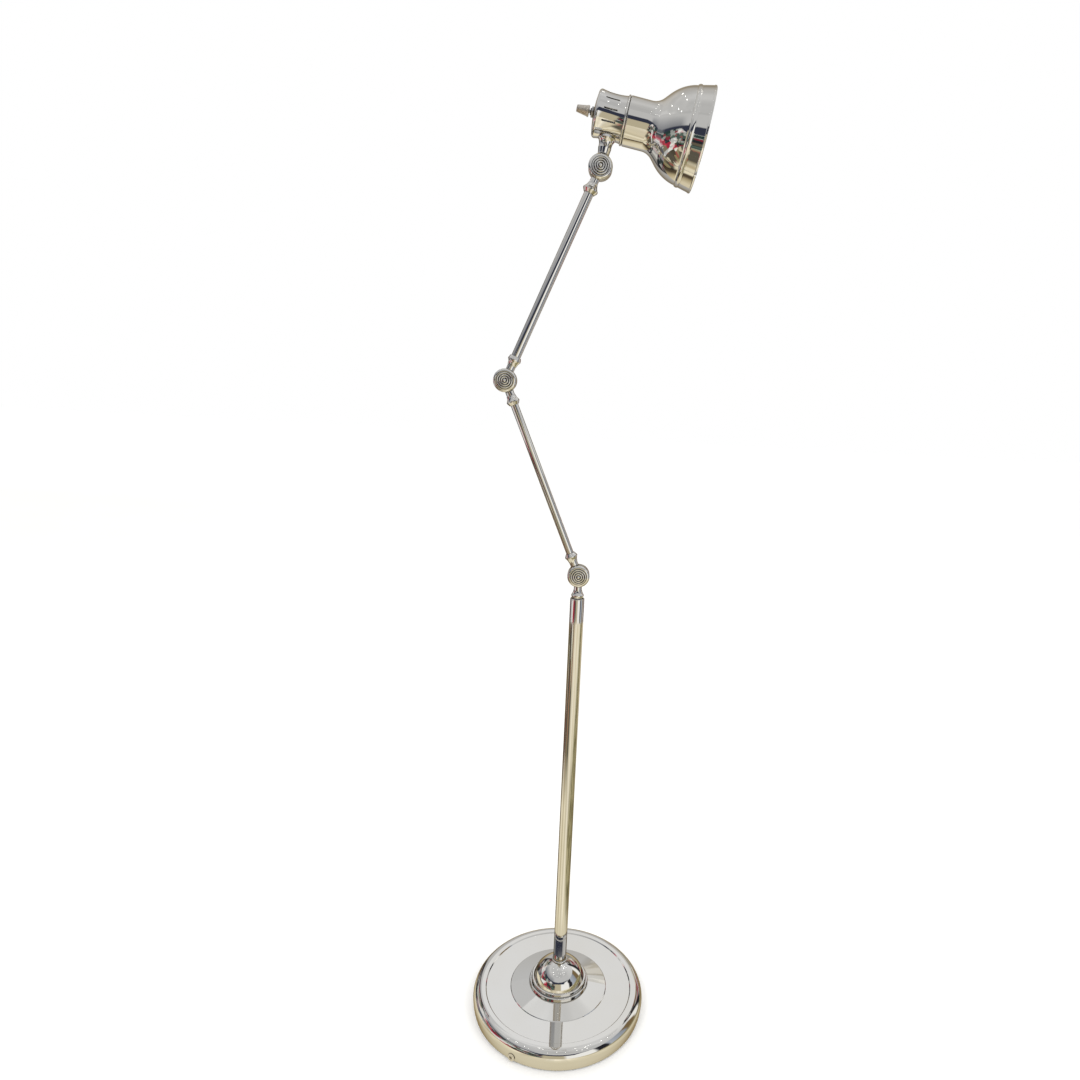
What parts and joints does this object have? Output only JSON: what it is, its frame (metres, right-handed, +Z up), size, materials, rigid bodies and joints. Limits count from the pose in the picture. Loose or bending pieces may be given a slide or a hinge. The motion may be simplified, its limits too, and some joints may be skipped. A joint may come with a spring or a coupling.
{
  "type": "articulated floor lamp",
  "caption": "Floor lamp with a weighted round base, a straight pole, jointed arms on disc knuckles, and a bell shade on a vented cup.",
  "frame": {"origin": "on the floor, on the pole's axis", "axes": "+Z up along the pole, +X the way the shade faces, Y along the knuckle bolts with the ringed caps at -Y"},
  "size_m": [0.2586, 0.25, 1.2536],
  "materials": {
    "chrome": "mirror-polished plating",
    "warm_nickel": "satin, slightly warm",
    "steel": "zinc plated",
    "iron": "rough black coat",
    "felt": "pressed felt",
    "nylon": "smooth",
    "bushing": "smooth, beige",
    "porcelain": "glazed, off-white",
    "switch_black": "moulded",
    "brass": "bright",
    "cap_metal": "thin rolled shell",
    "bulb_glass": "soft white"
  },
  "bodies": {
    "stand": {"felt_pad": "felt", "base_weight": "iron", "base_cover": "chrome", "base_hub": "chrome", "centre_nipple": "steel", "base_washer": "steel", "base_nut": "steel", "cord_bushing": "bushing", "foot_plug": "steel", "pole": "chrome", "pole_collar": "chrome", "pole_ring": "chrome", "lower_knuckle_front": "chrome", "lower_knuckle_bolt": "steel", "lower_knuckle_washer": "nylon", "lower_knuckle_cap": "chrome", "lower_knuckle_nut": "chrome"},
    "lower_arm": {"lower_arm_foot": "chrome", "lower_arm_foot_collar": "chrome", "lower_arm_tube": "chrome", "lower_arm_top_collar": "chrome", "lower_arm_top": "chrome"},
    "upper_arm": {"upper_arm_foot": "chrome", "upper_arm_foot_collar": "chrome", "upper_arm_tube": "chrome", "upper_arm_top_collar": "chrome", "upper_arm_top": "chrome", "middle_knuckle_bolt": "steel", "middle_knuckle_washer": "nylon", "middle_knuckle_cap": "chrome", "middle_knuckle_nut": "chrome", "head_knuckle_bolt": "steel", "head_knuckle_washer": "nylon", "head_knuckle_cap": "chrome", "head_knuckle_nut": "chrome"},
    "head": {"head_stem": "chrome", "stem_screw": "steel", "stem_washer": "steel", "stem_nut": "steel", "socket_cup": "chrome", "cup_bead": "chrome", "shade": "chrome", "holder_bracket": "steel", "lampholder": "porcelain", "lampholder_shell": "brass", "lampholder_contact": "brass", "bulb_cap": "cap_metal", "bulb_glass": "bulb_glass", "switch_body": "switch_black", "switch_nut": "steel"},
    "knob": {"switch_shaft": "steel", "switch_knob": "warm_nickel"}
  },
  "joints": [
    {"name": "lower_knuckle", "type": "hinge", "parent": "stand", "child": "lower_arm", "pos_m": [0, 0, 0.652], "axis": [0, 1, 0], "range_deg": [-67.2, 112.8]},
    {"name": "middle_knuckle", "type": "hinge", "parent": "lower_arm", "child": "upper_arm", "pos_m": [-0.10482, 0, 0.90136], "axis": [0, 1, 0], "range_deg": [-155.4, 64.6]},
    {"name": "head_knuckle", "type": "hinge", "parent": "upper_arm", "child": "head", "pos_m": [0.00224, 0, 1.15857], "axis": [0, 1, 0], "range_deg": [-77, 92]},
    {"name": "switch_turn", "type": "hinge", "parent": "head", "child": "knob", "pos_m": [-0.02148, 0, 1.22129], "axis": [0.984, 0, -0.1779], "continuous": true}
  ]
}
